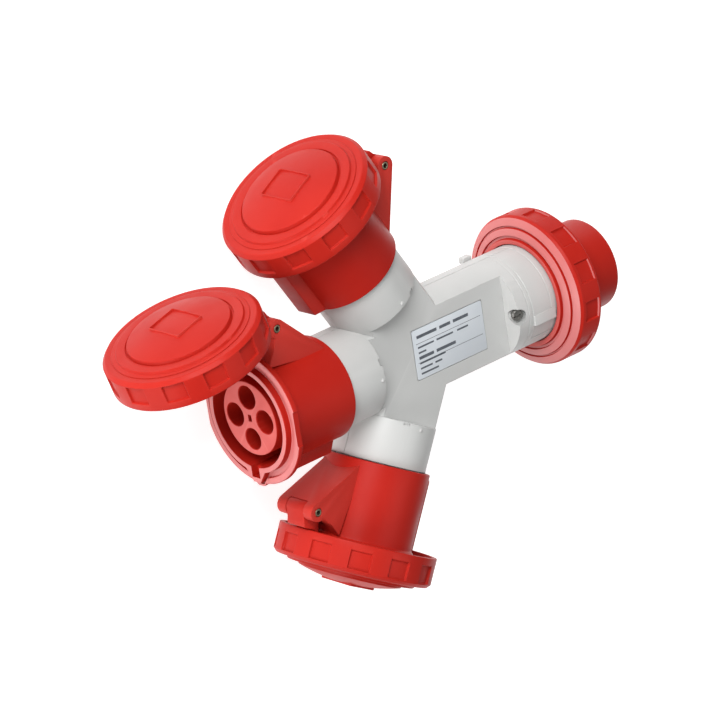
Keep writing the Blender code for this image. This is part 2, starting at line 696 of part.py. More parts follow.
def build():
    clear_scene()
    grey = material("light_grey_plastic", (0.62, 0.62, 0.61), 0.4)
    red = material("red_plastic", (0.62, 0.02, 0.018), 0.3)
    plate = material("plate_film", (0.66, 0.70, 0.74), 0.45)
    rubber = material("black_rubber", (0.02, 0.02, 0.02), 0.8)
    steel = material("steel", (0.55, 0.55, 0.56), 0.35, 1.0)
    brass = material("brass", (0.72, 0.52, 0.22), 0.3, 1.0)
    copper = material("copper", (0.75, 0.36, 0.22), 0.35, 1.0)
    shells(grey)
    rating_plate(plate)
    screws(steel)
    for k in range(4):
        busbar(k, copper)
    for name, frame in ARMS.items():
        opened = frame @ lid_turn(LID_OPEN if name == "middle" else 0.0)
        collar_seal(name, frame, rubber)
        housing(name, frame, red)
        insert(name, frame, red)
        contacts(name, frame, brass)
        lid(name, opened, red)
        lid_ring(name, opened, red)
        lid_gasket(name, opened, rubber)
        hinge_pin(name, frame, steel)
    plug_shroud(red)
    pin_carrier(red)
    plug_pins(brass)
    plug_ring(red)
    plug_gasket(rubber)


build()
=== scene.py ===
"""Looks for the three-way industrial adaptor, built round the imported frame.

Metres, +Z up, +X the way the plug points. Shapes are drawn in millimetres about the crossing of the arms.
"""

import json
import math

import bmesh
import bpy
from mathutils import Matrix, Vector

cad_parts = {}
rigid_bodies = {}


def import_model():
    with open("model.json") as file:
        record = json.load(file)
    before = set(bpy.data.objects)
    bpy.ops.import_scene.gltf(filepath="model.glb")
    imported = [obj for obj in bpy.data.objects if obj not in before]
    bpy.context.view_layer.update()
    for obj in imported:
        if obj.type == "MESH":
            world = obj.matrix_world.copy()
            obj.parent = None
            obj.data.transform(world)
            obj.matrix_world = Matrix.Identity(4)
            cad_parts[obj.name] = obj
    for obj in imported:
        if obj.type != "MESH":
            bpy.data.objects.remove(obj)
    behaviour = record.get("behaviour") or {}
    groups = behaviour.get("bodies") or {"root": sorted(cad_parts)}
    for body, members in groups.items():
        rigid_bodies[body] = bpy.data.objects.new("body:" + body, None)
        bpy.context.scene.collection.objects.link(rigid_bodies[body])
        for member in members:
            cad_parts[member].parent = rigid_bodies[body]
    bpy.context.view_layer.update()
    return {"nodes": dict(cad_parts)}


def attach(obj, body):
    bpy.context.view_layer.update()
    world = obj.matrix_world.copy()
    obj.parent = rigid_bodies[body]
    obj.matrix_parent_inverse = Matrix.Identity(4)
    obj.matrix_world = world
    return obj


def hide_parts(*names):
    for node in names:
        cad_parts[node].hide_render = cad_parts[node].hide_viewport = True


for old in list(bpy.data.objects):
    bpy.data.objects.remove(old, do_unlink=True)

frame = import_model()

MM = 0.001
CROSS = Matrix.Translation((-96.0 * MM, 0, 0))
ARM_ANGLE = math.radians(60)
LID_OPEN = math.radians(74.3)
HINGE = (94.6, 45.6)
RING_R = 42.5
RING_BORE = 39.8
RING_REAR = 104.6
BARREL_R = 5.0
KNUCKLE_R = 4.92
DOME_R = 27.4
DOME_EDGE = 124.3
LID_TOP = 128.6
GRIP_FIRST = 9.5
PLUG_RING_STEP = 30.6
FLAT_Z = 16.0
FLAT_END = 57.0
ARM_R = 25.2
COLLAR_R = 25.6
PLUG_ARM_R = 27.2
PLUG_ARM_LINES = (64.2, 67.0, 80.4)
ARM_END = 38.6
HOUSING_REAR = 62.9
CONTACT_CIRCLE = 11.4
INSERT_R = 20.2
INSERT_FACE = 110.7
TUBE_BORE = 26.4
TUBE_R = 28.3
FLANGE_R = 36.3
KEY_TURN = 6.65
NOTCH_HALF = 9.4
NOTCH_FLOOR = 34.4
SLOT_HALF = 7.4
SLOT_FLOOR = 34.3
BARREL_HALF = 13.4
KNUCKLE_HALF = 6.66
PLUG_RING_R = 42.3
SHROUD_R = 25.3
SHROUD_BORE = 21.6


# Shapes. Lengths here are in millimetres, along X first.


def fillet(profile, steps=4):
    """Rounds the corners of a closed outline of (along, radius, rounding)."""
    points = []
    count = len(profile)
    for i, (x, y, size) in enumerate(profile):
        here = Vector((x, y))
        if size <= 0:
            points.append((x, y))
            continue
        before = Vector(profile[i - 1][:2]) - here
        after = Vector(profile[(i + 1) % count][:2]) - here
        half = before.angle(after) / 2
        reach = min(size / math.tan(half), before.length * 0.48, after.length * 0.48)
        size = reach * math.tan(half)
        centre = here + (before.normalized() + after.normalized()).normalized() * (size / math.sin(half))
        start = here + before.normalized() * reach - centre
        end = here + after.normalized() * reach - centre
        turn = start.angle_signed(end)
        for k in range(steps + 1):
            bend = -turn * k / steps
            cos, sin = math.cos(bend), math.sin(bend)
            across = centre.x + start.x * cos - start.y * sin
            up = centre.y + start.x * sin + start.y * cos
            points.append((across, up))
    return points


def mesh_of(name, points, faces, smooth=35):
    mesh = bpy.data.meshes.new(name)
    work = bmesh.new()
    verts = [work.verts.new([c * MM for c in point]) for point in points]
    for face in faces:
        try:
            work.faces.new([verts[i] for i in face])
        except ValueError:
            pass
    bmesh.ops.recalc_face_normals(work, faces=work.faces)
    work.to_mesh(mesh)
    work.free()
    made = bpy.data.objects.new(name, mesh)
    bpy.context.scene.collection.objects.link(made)
    shade(made, smooth)
    return made


def shade(obj, angle=35):
    for face in obj.data.polygons:
        face.use_smooth = True
    obj.data.set_sharp_from_angle(angle=math.radians(angle))


def even(count):
    return [360.0 * (k + 0.5) / count for k in range(count)]


def with_edges(count, spots, half, soft):
    """Evenly spaced turns in degrees, plus closer ones at both edges of each spot."""
    turns = []
    extra = []
    for spot in spots:
        for side in (-1, 1):
            for k in range(5):
                extra.append((spot + side * (half - soft + 2 * soft * k / 4)) % 360)
    for turn in even(count):
        if all(abs((turn - e + 180) % 360 - 180) > 0.25 for e in extra):
            turns.append(turn)
    return sorted(turns + extra)


def soft_step(value):
    value = max(0.0, min(1.0, value))
    return value * value * (3 - 2 * value)


def window(offset, half, soft):
    """1 inside half a width, 0 outside, with a soft edge."""
    return soft_step((half + soft - abs(offset)) / (2 * soft))


def off_by(turn, spot):
    return (turn - spot + 180) % 360 - 180


def turned(name, profile, turns=None, shape=None, smooth=35):
    """A closed outline of (along, radius) turned about X. Turns count from Y towards Z."""
    turns = turns or even(144)
    points = []
    rings = []
    for x, r in profile:
        if r <= 1e-6:
            rings.append([len(points)] * len(turns))
            points.append((x, 0, 0))
            continue
        rings.append(list(range(len(points), len(points) + len(turns))))
        for turn in turns:
            angle = math.radians(turn)
            if shape:
                points.append(shape(x, r, turn))
            else:
                points.append((x, r * math.cos(angle), r * math.sin(angle)))
    faces = []
    for i, ring in enumerate(rings):
        after = rings[(i + 1) % len(rings)]
        for k in range(len(turns)):
            n = (k + 1) % len(turns)
            corners = []
            for corner in (ring[k], ring[n], after[n], after[k]):
                if corner not in corners:
                    corners.append(corner)
            if len(corners) > 2:
                faces.append(corners)
    return mesh_of(name, points, faces, smooth)


def rod(name, start, end, radius, sides=96, rounding=0.0):
    outline = [(start, 0, 0), (start, radius, rounding), (end, radius, rounding), (end, 0, 0)]
    return turned(name, fillet(outline), even(sides))


def prism(name, outline, z0, z1):
    count = len(outline)
    points = [(x, y, z0) for x, y in outline] + [(x, y, z1) for x, y in outline]
    faces = [tuple(range(count))[::-1], tuple(range(count, 2 * count))]
    for i in range(count):
        n = (i + 1) % count
        faces.append((i, n, count + n, count + i))
    return mesh_of(name, points, faces)


def box(name, low, high):
    x0, y0, z0 = low
    x1, y1, z1 = high
    return prism(name, [(x0, y0), (x1, y0), (x1, y1), (x0, y1)], z0, z1)


def move(obj, matrix):
    obj.data.transform(matrix)
    return obj


def shift(x, y=0.0, z=0.0):
    return Matrix.Translation((x * MM, y * MM, z * MM))


def along(obj, point, direction):
    turn = Vector((1, 0, 0)).rotation_difference(Vector(direction)).to_matrix().to_4x4()
    return move(obj, shift(*point) @ turn)


def bake(obj):
    bpy.context.view_layer.update()
    graph = bpy.context.evaluated_depsgraph_get()
    mesh = bpy.data.meshes.new_from_object(obj.evaluated_get(graph))
    obj.modifiers.clear()
    obj.data = mesh
    return obj


def in_triangles(obj):
    work = bmesh.new()
    work.from_mesh(obj.data)
    bmesh.ops.triangulate(work, faces=work.faces)
    work.to_mesh(obj.data)
    work.free()


def combine(obj, tools, operation):
    for each in (obj, *tools):
        in_triangles(each)
    for tool in tools:
        step = obj.modifiers.new(operation.lower(), "BOOLEAN")
        step.operation = operation
        step.solver = "EXACT"
        step.object = tool
    bake(obj)
    for tool in tools:
        bpy.data.objects.remove(tool, do_unlink=True)
    return obj


def cut(obj, *tools):
    return combine(obj, tools, "DIFFERENCE")


def add(obj, *tools):
    return combine(obj, tools, "UNION")


def bevel(obj, width, segments=3, angle=30):
    step = obj.modifiers.new("bevel", "BEVEL")
    step.width = width * MM
    step.segments = segments
    step.limit_method = "ANGLE"
    step.angle_limit = math.radians(angle)
    step.harden_normals = False
    bake(obj)
    shade(obj, 40)
    return obj


# Materials.


def nodes_of(name):
    made = bpy.data.materials.new(name)
    made.use_nodes = True
    tree = made.node_tree
    shader = tree.nodes["Principled BSDF"]
    return made, tree, shader


def link(tree, source, target):
    tree.links.new(source, target)


def noise(tree, coords, scale, detail=3.0):
    made = tree.nodes.new("ShaderNodeTexNoise")
    made.inputs["Scale"].default_value = scale
    made.inputs["Detail"].default_value = detail
    link(tree, coords, made.inputs["Vector"])
    return made.outputs["Fac"]


def ramp(tree, value, low, high, start=0.0, end=1.0):
    made = tree.nodes.new("ShaderNodeMapRange")
    made.inputs["From Min"].default_value = start
    made.inputs["From Max"].default_value = end
    made.inputs["To Min"].default_value = low
    made.inputs["To Max"].default_value = high
    link(tree, value, made.inputs["Value"])
    return made.outputs["Result"]


def mix(tree, factor, first, second):
    made = tree.nodes.new("ShaderNodeMix")
    made.data_type = "RGBA"
    link(tree, factor, made.inputs["Factor"])
    for value, socket in ((first, made.inputs["A"]), (second, made.inputs["B"])):
        if isinstance(value, tuple):
            socket.default_value = (*value, 1.0)
        else:
            link(tree, value, socket)
    return made.outputs["Result"]


def moulded(name, colour, deep, edge, rough, grain, gloss=0.5):
    """Moulded plastic: slow colour drift, lighter worn edges, fine moulded grain and faint flow marks."""
    made, tree, shader = nodes_of(name)
    coords = tree.nodes.new("ShaderNodeTexCoord").outputs["Object"]
    drift = noise(tree, coords, 28.0)
    base = mix(tree, ramp(tree, drift, 0.0, 1.0, 0.3, 0.7), colour, deep)
    point = tree.nodes.new("ShaderNodeNewGeometry").outputs["Pointiness"]
    worn = ramp(tree, point, 0.0, 0.35, 0.53, 0.60)
    base = mix(tree, worn, base, edge)
    link(tree, base, shader.inputs["Base Color"])
    smudge = noise(tree, coords, 70.0, 5.0)
    link(tree, ramp(tree, smudge, rough - 0.05, rough + 0.07, 0.3, 0.7), shader.inputs["Roughness"])
    shader.inputs["IOR"].default_value = 1.5
    shader.inputs["Specular IOR Level"].default_value = gloss
    soft = tree.nodes.new("ShaderNodeBevel")
    soft.samples = 4
    soft.inputs["Radius"].default_value = 0.00035
    fine = tree.nodes.new("ShaderNodeBump")
    fine.inputs["Strength"].default_value = grain
    fine.inputs["Distance"].default_value = 0.00004
    link(tree, noise(tree, coords, 2600.0, 2.0), fine.inputs["Height"])
    link(tree, soft.outputs["Normal"], fine.inputs["Normal"])
    flow = tree.nodes.new("ShaderNodeBump")
    flow.inputs["Strength"].default_value = 0.12
    flow.inputs["Distance"].default_value = 0.0006
    link(tree, noise(tree, coords, 45.0, 1.0), flow.inputs["Height"])
    link(tree, fine.outputs["Normal"], flow.inputs["Normal"])
    link(tree, flow.outputs["Normal"], shader.inputs["Normal"])
    return made


def metal(name, colour, rough, scale):
    """Turned or rolled metal with fine machining marks and a little tarnish."""
    made, tree, shader = nodes_of(name)
    coords = tree.nodes.new("ShaderNodeTexCoord").outputs["Object"]
    spots = noise(tree, coords, 160.0, 6.0)
    dull = tuple(c * 0.7 for c in colour)
    link(tree, mix(tree, ramp(tree, spots, 0.0, 1.0, 0.4, 0.7), colour, dull), shader.inputs["Base Color"])
    shader.inputs["Metallic"].default_value = 1.0
    link(tree, ramp(tree, spots, rough - 0.06, rough + 0.1, 0.3, 0.7), shader.inputs["Roughness"])
    wave = tree.nodes.new("ShaderNodeTexWave")
    wave.inputs["Scale"].default_value = scale
    wave.inputs["Distortion"].default_value = 2.0
    link(tree, coords, wave.inputs["Vector"])
    bump = tree.nodes.new("ShaderNodeBump")
    bump.inputs["Strength"].default_value = 0.15
    bump.inputs["Distance"].default_value = 0.00004
    link(tree, wave.outputs["Fac"], bump.inputs["Height"])
    link(tree, bump.outputs["Normal"], shader.inputs["Normal"])
    return made


def rubber():
    made, tree, shader = nodes_of("black_rubber")
    coords = tree.nodes.new("ShaderNodeTexCoord").outputs["Object"]
    dust = noise(tree, coords, 300.0, 6.0)
    base = mix(tree, ramp(tree, dust, 0.0, 0.5, 0.5, 0.75), (0.016, 0.016, 0.017), (0.06, 0.06, 0.058))
    link(tree, base, shader.inputs["Base Color"])
    link(tree, ramp(tree, dust, 0.7, 0.9), shader.inputs["Roughness"])
    bump = tree.nodes.new("ShaderNodeBump")
    bump.inputs["Strength"].default_value = 0.3
    bump.inputs["Distance"].default_value = 0.0001
    link(tree, noise(tree, coords, 1800.0, 2.0), bump.inputs["Height"])
    link(tree, bump.outputs["Normal"], shader.inputs["Normal"])
    return made


def film():
    """Satin label film."""
    made, tree, shader = nodes_of("plate_film")
    coords = tree.nodes.new("ShaderNodeTexCoord").outputs["Object"]
    cloud = noise(tree, coords, 60.0, 4.0)
    link(tree, mix(tree, cloud, (0.55, 0.59, 0.63), (0.61, 0.64, 0.67)), shader.inputs["Base Color"])
    link(tree, ramp(tree, cloud, 0.28, 0.42), shader.inputs["Roughness"])
    bump = tree.nodes.new("ShaderNodeBump")
    bump.inputs["Strength"].default_value = 0.08
    bump.inputs["Distance"].default_value = 0.00005
    link(tree, noise(tree, coords, 900.0, 2.0), bump.inputs["Height"])
    link(tree, bump.outputs["Normal"], shader.inputs["Normal"])
    return made


def ink():
    made, tree, shader = nodes_of("plate_ink")
    coords = tree.nodes.new("ShaderNodeTexCoord").outputs["Object"]
    patch = noise(tree, coords, 500.0, 3.0)
    link(tree, mix(tree, patch, (0.05, 0.06, 0.075), (0.12, 0.13, 0.15)), shader.inputs["Base Color"])
    shader.inputs["Roughness"].default_value = 0.5
    return made


# Each plastic's colour, its drift and its worn edges.
GREYS = ((0.525, 0.53, 0.52), (0.485, 0.49, 0.48), (0.60, 0.60, 0.59))
REDS = ((0.43, 0.016, 0.009), (0.39, 0.012, 0.007), (0.58, 0.06, 0.045))
# A satin red, lighter and pinker than the red. Its grain and roughness are real; its lighter colour is a
# painted sheen, the painted reflection of a bright light.
SATIN_PAINTED_SHEEN_REDS = ((0.56, 0.095, 0.085), (0.49, 0.06, 0.052), (0.66, 0.16, 0.14))
# A paler pink red: its colour is a painted sheen, the painted reflection of a bright light on faces that
# look one way.
PAINTED_SHEEN_REDS = ((0.56, 0.13, 0.125), (0.50, 0.11, 0.105), (0.66, 0.25, 0.24))

GREY = moulded("light_grey_plastic", *GREYS, rough=0.42, grain=0.35)
RED = moulded("red_plastic", *REDS, rough=0.42, grain=0.22, gloss=0.13)
# Satin finish, with a painted sheen in its lighter colour.
SATIN_PAINTED_SHEEN_RED = moulded("satin_red_plastic_painted_sheen", *SATIN_PAINTED_SHEEN_REDS, rough=0.55, grain=0.9, gloss=0.4)
# Grainy matt finish. Its paler colour is a painted sheen.
PAINTED_SHEEN_RED = moulded("red_plastic_painted_sheen", *PAINTED_SHEEN_REDS, rough=0.45, grain=0.6, gloss=0.9)
STEEL = metal("steel", (0.27, 0.265, 0.25), 0.38, 900.0)
PIN = metal("hinge_pin_metal", (0.34, 0.29, 0.20), 0.40, 900.0)
BRASS = metal("brass", (0.72, 0.50, 0.22), 0.30, 700.0)
COPPER = metal("copper", (0.74, 0.36, 0.22), 0.34, 500.0)
RUBBER = rubber()
FILM = film()
INK = ink()


def dress(piece, name, surface, body, matrix=None, replaces=()):
    piece.name = name
    piece.data.name = name
    if matrix is not None:
        move(piece, matrix)
    piece.data.materials.clear()
    piece.data.materials.append(surface)
    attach(piece, body)
    if replaces:
        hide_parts(*replaces)
    return piece


def paint_sheen(piece, way, surface=None, reach=1000.0):
    """Gives the flat faces that look this way, out to a reach from the X axis, a grainier matt moulded
    finish and a paler red. The paler colour is a painted sheen: the reflection of a bright light, painted
    on.
    """
    piece.data.materials.append(surface or PAINTED_SHEEN_RED)
    way = Vector(way).normalized()
    slot = len(piece.data.materials) - 1
    for face in piece.data.polygons:
        if face.normal.dot(way) > 0.8 and face.center.yz.length < reach * MM:
            face.material_index = slot
    return piece


def arm_frame(angle):
    """Socket frame: X out along the arm, Y towards the hinge, Z towards the back of the body."""
    out = Vector((-math.cos(angle), math.sin(angle), 0))
    hinge = Vector((math.sin(angle), math.cos(angle), 0))
    return CROSS @ Matrix((out, hinge, out.cross(hinge))).transposed().to_4x4()


def lid_turn(angle):
    hinge = shift(*HINGE)
    return hinge @ Matrix.Rotation(angle, 4, "Z") @ hinge.inverted()


ARMS = {"upper": arm_frame(ARM_ANGLE), "middle": arm_frame(0.0), "lower": arm_frame(-ARM_ANGLE)}


# Lids.


def grips(turn, x, r, outer, start, end):
    """How far a point of the outer wall is pushed in by the grip pockets."""
    if r < outer - 1.5:
        return 0.0
    deep = 0.0
    for k in range(12):
        offset = off_by(turn, GRIP_FIRST + 30 * k)
        if abs(offset) < 12:
            deep = window(offset, 7.7, 0.35)
    return 1.2 * deep * window(x - (start + end) / 2, (end - start) / 2, 0.22)


def ring_turns():
    """Turns for a ring, close together at the edges of its grip pockets and its two lugs."""
    turns = set(with_edges(144, [GRIP_FIRST + 30 * k for k in range(12)], 7.7, 0.35))
    for spot in (90, 270):
        turns |= {spot + step for step in (-9.1, -8.9, 8.9, 9.1)}
    return sorted(turns)


def lines(start, end, extra):
    """Points along a straight wall, with close ones at each extra place."""
    spots = []
    for place in extra:
        spots += [place - 0.24, place - 0.12, place, place + 0.12, place + 0.24]
    return sorted(s for s in spots if min(start, end) < s < max(start, end))


def ring_shape(outer, start, end, lug_start, lug_end, bore):
    def shape(x, r, turn):
        angle = math.radians(turn)
        r -= grips(turn, x, r, outer, start, end)
        if abs(r - bore) < 0.05 and lug_start < x < lug_end:
            for spot in (90, 270):
                if abs(off_by(turn, spot)) < 9.0:
                    r = 35.3 / max(0.5, abs(math.sin(angle)))
        return x, r * math.cos(angle), r * math.sin(angle)

    return shape


def ring_outline():
    wall = [(x, RING_R, 0) for x in lines(RING_REAR + 0.5, 119.0, (108.9, 118.4))]
    outline = [(RING_REAR, RING_BORE, 0.3), (RING_REAR, RING_R, 0.6), *wall, (118.9, RING_R, 0.5)]
    outline += [(120.9, RING_R - 1.9, 1.2), (120.9, 36.5, 0.4), (116.2, 36.5, 0), (116.2, RING_BORE, 0)]
    outline += [(RING_REAR + step, RING_BORE, 0) for step in (2.2, 2.05, 0.35)]
    return fillet(outline)


def lid_ring(name, matrix):
    shape = ring_shape(RING_R, 108.9, 118.4, RING_REAR + 0.3, RING_REAR + 2.1, RING_BORE)
    made = turned("ring", ring_outline(), ring_turns(), shape, 28)
    dress(made, f"lid_ring_{name}_turned", RED, f"ring_{name}", matrix, [f"lid_ring_{name}"])


def dome():
    """Points over the lid's shallow dome, from its edge to the middle."""
    rise = LID_TOP - DOME_EDGE
    ball = (DOME_R ** 2 + rise ** 2) / (2 * rise)
    points = []
    for k in range(12):
        radius = DOME_R * (1 - k / 12) - 0.25
        points.append((LID_TOP - ball + math.sqrt(ball ** 2 - radius ** 2), radius, 0))
    return points


def lid_disc_outline():
    outline = [(115.9, 0, 0), (115.9, 33.3, 0.4), (112.9, 33.3, 0.3), (112.9, 39.4, 0.3), (115.9, 39.4, 0.3)]
    outline += [(115.9, 36.2, 0), (120.96, 36.2, 0), (120.96, 37.2, 0.1), (121.25, 37.0, 0.15)]
    outline += [(121.5, 34.6, 0.3), (122.7, 34.1, 0.3), (122.9, 29.1, 0.25), (122.0, 28.8, 0.2)]
    outline += [(122.0, 28.2, 0.2), (124.2, 27.7, 0.35)]
    return fillet(outline + dome() + [(LID_TOP, 0, 0)])


def square_frame():
    """Plain raised frame on the lid's dome, as one loop of rounded bar."""
    half = (9.0, 11.5)
    spots = []
    for k in range(4):
        for step in range(4):
            turn = math.radians(90 * k + 30 * step)
            spots.append((k, math.cos(turn), math.sin(turn)))
    points = []
    faces = []
    section = [(-1.9, -0.36), (0.0, -0.32), (0.15, -0.2), (0.15, 0.2), (0.0, 0.32), (-1.9, 0.36)]
    signs = [(1, 1), (-1, 1), (-1, -1), (1, -1)]
    for k, cos, sin in spots:
        sy, sz = signs[k]
        for up, side in section:
            reach = 0.6 + side
            y = sy * (half[0] - 0.9) + reach * cos
            z = sz * (half[1] - 0.9) + reach * sin
            points.append((LID_TOP + up, y, z))
    count = len(section)
    for i in range(16):
        n = (i + 1) % 16
        for j in range(count):
            m = (j + 1) % count
            faces.append((i * count + j, n * count + j, n * count + m, i * count + m))
    return mesh_of("square", points, faces, 50)


def lid_arm():
    outline = [(114.0, 36.2), (104.4, 36.2), (98.5, 38.0)]
    for k in range(25):
        turn = math.radians(-105 - 7.5 * k)
        outline.append((HINGE[0] + KNUCKLE_R * math.cos(turn), HINGE[1] + KNUCKLE_R * math.sin(turn)))
    outline += [(100.5, 47.6), (103.2, 46.9), (104.1, 45.9), (104.2, 38.7), (114.0, 38.7)]
    made = prism("arm", outline, -KNUCKLE_HALF, KNUCKLE_HALF)
    return bevel(made, 0.2, 2, 40)


def lid(name, matrix):
    body = f"lid_{name}"
    disc = turned("disc", lid_disc_outline(), even(160), None, 28)
    dress(disc, f"lid_{name}_disc", RED, body, matrix, [f"lid_{name}"])
    dress(square_frame(), f"lid_{name}_square", RED, body, matrix)
    dress(lid_arm(), f"lid_{name}_arm", RED, body, matrix)
    outline = [(112.9, 25.6, 0.3), (112.9, 28.4, 0.3), (113.5, 29.3, 0.3), (112.9, 30.2, 0.3)]
    outline += [(112.9, 32.9, 0.3), (115.7, 32.9, 0.3), (115.7, 25.6, 0.3)]
    seal = turned("seal", fillet(outline), even(120))
    dress(seal, f"lid_{name}_seal", RUBBER, body, matrix, [f"lid_gasket_{name}"])


# Sockets.


def housing_shape(x, r, turn):
    """Adds the keyway, the wall round its mouth, and the notches in the flange."""
    offset = off_by(turn, 180)
    angle = math.radians(turn)
    y = r * math.cos(angle)
    z = r * math.sin(angle)
    if abs(r - TUBE_BORE) < 0.9 and x > 72 and abs(offset) < KEY_TURN + 0.25:
        y = -26.2 - 6.0 * window(offset, KEY_TURN, 0.12)
        z = max(-3.1, min(3.1, z * 1.08))
    if y < 0 and x > 106 and r > 28.4:
        reach = 35.0 + 0.55 * (r - 29.3) if r < 33.5 else 37.6
        if r < 33.5 and x > 110.0 and r > 31.5:
            reach = 36.4
        y = min(y, -(reach - 1.42 * max(0.0, abs(z) - 2.6)))
    if r > 33.5 and x > 106:
        if abs(z) > NOTCH_FLOOR and abs(y) < NOTCH_HALF:
            z = math.copysign(NOTCH_FLOOR, z)
        if y > SLOT_FLOOR and abs(z) < SLOT_HALF:
            y = SLOT_FLOOR
    return x, y, z


def housing_tube():
    outline = [(HOUSING_REAR, TUBE_BORE, 0), (HOUSING_REAR, TUBE_R, 0.7), (104.2, TUBE_R, 1.0)]
    outline += [(106.9, 31.0, 0.6), (106.9, FLANGE_R, 0.6), (110.2, FLANGE_R, 0.9), (110.2, 32.6, 0.5)]
    outline += [(108.7, 32.6, 0.4), (108.7, 29.3, 0.4), (112.6, 29.3, 0.6), (112.6, TUBE_BORE, 0.6)]
    outline += [(73.0, TUBE_BORE, 0), (72.0, TUBE_BORE, 0)]
    turns = with_edges(168, [180], KEY_TURN, 0.14)
    turns = sorted(set(turns) | set(with_edges(1, [180], 9.1, 0.3)))
    notch = math.degrees(math.asin(NOTCH_HALF / 36.0))
    slot = math.degrees(math.asin(SLOT_HALF / 36.0))
    for spot, half in ((90, notch), (270, notch), (0, slot)):
        turns += [(spot + d) % 360 for d in (-half - 0.15, -half + 0.15, half - 0.15, half + 0.15)]
    turns += [180 + d for d in (-16.2, -14.1, -5.2, -4.9, 4.9, 5.2, 14.1, 16.2)]
    return turned("housing", fillet(outline), sorted(set(turns)), housing_shape, 32)


def hinge_bracket():
    """The wedge that carries the hinge barrel. The lid's knuckle fills the gap in the barrel."""
    arc = []
    for k in range(34):
        turn = math.radians(134 - 6 * k)
        arc.append((HINGE[0] + BARREL_R * math.cos(turn), HINGE[1] + BARREL_R * math.sin(turn)))
    outline = [(63.2, 22.2), *arc, (99.5, 34.5), (104.0, 27.5)]
    wedge = prism("wedge", outline, -BARREL_HALF, BARREL_HALF)
    back, heel = HINGE[0] - 4.4, HINGE[0] - 2.6
    outline = [(back, 60), (back, HINGE[1]), (heel, HINGE[1] - 6.4), (heel, 33.2), (112, 33.2), (112, 60)]
    half = KNUCKLE_HALF + 0.14
    slot = prism("slot", outline, -half, half)
    room = along(rod("room", -half, half, KNUCKLE_R + 0.15, 64), (*HINGE, 0), (0, 0, 1))
    hole = along(rod("hole", -20, 20, 2.3, 40), (*HINGE, 0), (0, 0, 1))
    cut(wedge, rod("clear", 50, 130, 27.4, 96))
    cut(wedge, slot)
    cut(wedge, room)
    cut(wedge, hole)
    return bevel(wedge, 0.35, 3, 38)


def key_ridge():
    outline = [(62.9, -27), (66.5, -34.4), (108.6, -34.4), (108.6, -27)]
    ridge = prism("ridge", outline, -6.5, 6.5)
    cut(ridge, rod("clear", 50, 130, 27.4, 96))
    return bevel(ridge, 0.6, 3, 38)


def socket_insert():
    outline = [(72, 0, 0), (72, 26.1, 0.4), (80, 26.1, 0.4), (80, INSERT_R, 0.3)]
    outline += [(INSERT_FACE, INSERT_R, 0.6), (INSERT_FACE, 0, 0)]
    made = turned("insert", fillet(outline), even(128))
    for k in range(4):
        turn = math.radians(180 + 90 * k)
        wide = 5.7 if k == 0 else 6.3
        steps = [(60, 0, 0), (60, 4.4, 0), (100.7, 4.4, 0), (100.7, wide, 0), (INSERT_FACE - 0.4, wide, 0)]
        steps += [(INSERT_FACE + 0.4, wide + 0.8, 0), (120, wide + 0.8, 0), (120, 0, 0)]
        hole = turned("hole", fillet(steps), even(64))
        cut(made, move(hole, shift(0, CONTACT_CIRCLE * math.cos(turn), CONTACT_CIRCLE * math.sin(turn))))
    slot = box("slot", (104.7, -1.9, -1.3), (120, 1.9, 1.3))
    cut(made, bevel(slot, 0.5, 3))
    shade(made, 32)
    return made


def hinge_pin():
    end = BARREL_HALF
    outline = [(-end, 0, 0), (-end, 2.0, 0.25), (end, 2.0, 0.25)]
    outline += [(end, 1.25, 0.1), (4.0, 1.25, 0), (4.0, 0, 0)]
    made = turned("pin", fillet(outline), even(48))
    return along(made, (*HINGE, 0), (0, 0, -1))


def socket(name, matrix):
    tube = housing_tube()
    out = matrix.to_3x3() @ Vector((1, 0, 0))
    dress(tube, f"housing_{name}_tube", RED, "adaptor", matrix, [f"housing_{name}"])
    # The faces looking out along the arm get the paler red, a painted sheen.
    paint_sheen(tube, out)
    dress(hinge_bracket(), f"housing_{name}_bracket", RED, "adaptor", matrix)
    dress(key_ridge(), f"housing_{name}_ridge", RED, "adaptor", matrix)
    carrier = socket_insert()
    both = [f"insert_{name}", f"insert_base_{name}"]
    dress(carrier, f"insert_{name}_carrier", RED, "adaptor", matrix, both)
    # The insert's face gets the satin red: a real satin grain and a lighter painted sheen.
    paint_sheen(carrier, out, SATIN_PAINTED_SHEEN_RED)
    dress(hinge_pin(), f"hinge_pin_{name}_turned", PIN, "adaptor", matrix, [f"hinge_pin_{name}"])


# Body shells.


SCREW_TILT = math.radians(35)
SCREW_SEAT = (60.8, 0.0, 21.0)
SHELL_SCREWS = ((40.0, 17.2), (40.0, -17.2), (-29.4, 17.0), (-29.4, -17.0))
SHELL_SCREW_SEAT = -12.4


def screw_way(side):
    return (-math.sin(SCREW_TILT), 0, side * math.cos(SCREW_TILT))


